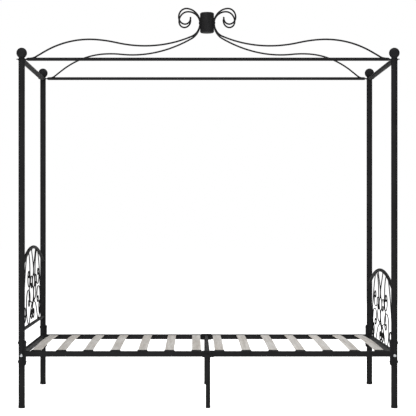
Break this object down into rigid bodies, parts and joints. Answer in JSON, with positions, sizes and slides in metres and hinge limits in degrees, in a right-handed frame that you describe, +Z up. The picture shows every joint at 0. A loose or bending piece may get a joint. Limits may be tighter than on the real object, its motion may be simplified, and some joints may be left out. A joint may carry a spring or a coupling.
{
  "type": "four poster canopy bed",
  "caption": "Single four poster bed frame of round steel tube with scrolled head and foot panels, sprung wooden slats and a canopy of bent rods meeting at a central hub.",
  "frame": {"origin": "on the floor, below the middle of the bed", "axes": "+X from the head end to the foot end, +Y to the right side as seen from the foot end, +Z up"},
  "size_m": [2.104, 0.9984, 2.2679],
  "materials": {
    "black_powder_coat": "satin powder coat",
    "black_moulding": "satin",
    "black_plastic": "matte, finely grained",
    "plywood": "sanded, pale",
    "zinc_bolt": "bright zinc plated",
    "inner_steel": "thin black paint"
  },
  "bodies": {
    "root": {"ball_finials": "black_moulding", "canopy_foot_bar": "black_powder_coat", "canopy_head_bar": "black_powder_coat", "canopy_hub": "black_moulding", "canopy_rail_foot_left": "black_powder_coat", "canopy_rail_foot_right": "black_powder_coat", "canopy_rail_head_left": "black_powder_coat", "canopy_rail_head_right": "black_powder_coat", "canopy_rail_sleeves": "inner_steel", "canopy_rod_foot_left": "black_powder_coat", "canopy_rod_foot_right": "black_powder_coat", "canopy_rod_head_left": "black_powder_coat", "canopy_rod_head_right": "black_powder_coat", "centre_cross_bar": "black_powder_coat", "centre_legs": "black_powder_coat", "end_rail_bolts": "zinc_bolt", "floor_feet": "black_plastic", "foot_arch_tube": "black_powder_coat", "foot_end_rail": "black_powder_coat", "foot_heart_wires": "black_powder_coat", "foot_left_lower_post": "black_powder_coat", "foot_left_upper_post": "black_powder_coat", "foot_lyre_wires": "black_powder_coat", "foot_right_lower_post": "black_powder_coat", "foot_right_upper_post": "black_powder_coat", "foot_scroll_wires": "black_powder_coat", "frame_bolts": "black_powder_coat", "head_arch_tube": "black_powder_coat", "head_end_rail": "black_powder_coat", "head_heart_wires": "black_powder_coat", "head_left_lower_post": "black_powder_coat", "head_left_upper_post": "black_powder_coat", "head_lower_bar": "black_powder_coat", "head_lyre_wires": "black_powder_coat", "head_right_lower_post": "black_powder_coat", "head_right_upper_post": "black_powder_coat", "head_scroll_wires": "black_powder_coat", "hub_screws": "black_powder_coat", "left_side_rail_foot_half": "black_powder_coat", "left_side_rail_head_half": "black_powder_coat", "post_joining_sleeves": "inner_steel", "rail_brackets": "black_powder_coat", "rail_joiners": "black_powder_coat", "right_side_rail_foot_half": "black_powder_coat", "right_side_rail_head_half": "black_powder_coat", "slat_01": "plywood", "slat_02": "plywood", "slat_03": "plywood", "slat_04": "plywood", "slat_05": "plywood", "slat_06": "plywood", "slat_07": "plywood", "slat_08": "plywood", "slat_09": "plywood", "slat_10": "plywood", "slat_11": "plywood", "slat_12": "plywood", "slat_13": "plywood", "slat_14": "plywood", "slat_holders": "black_plastic"}
  },
  "joints": []
}
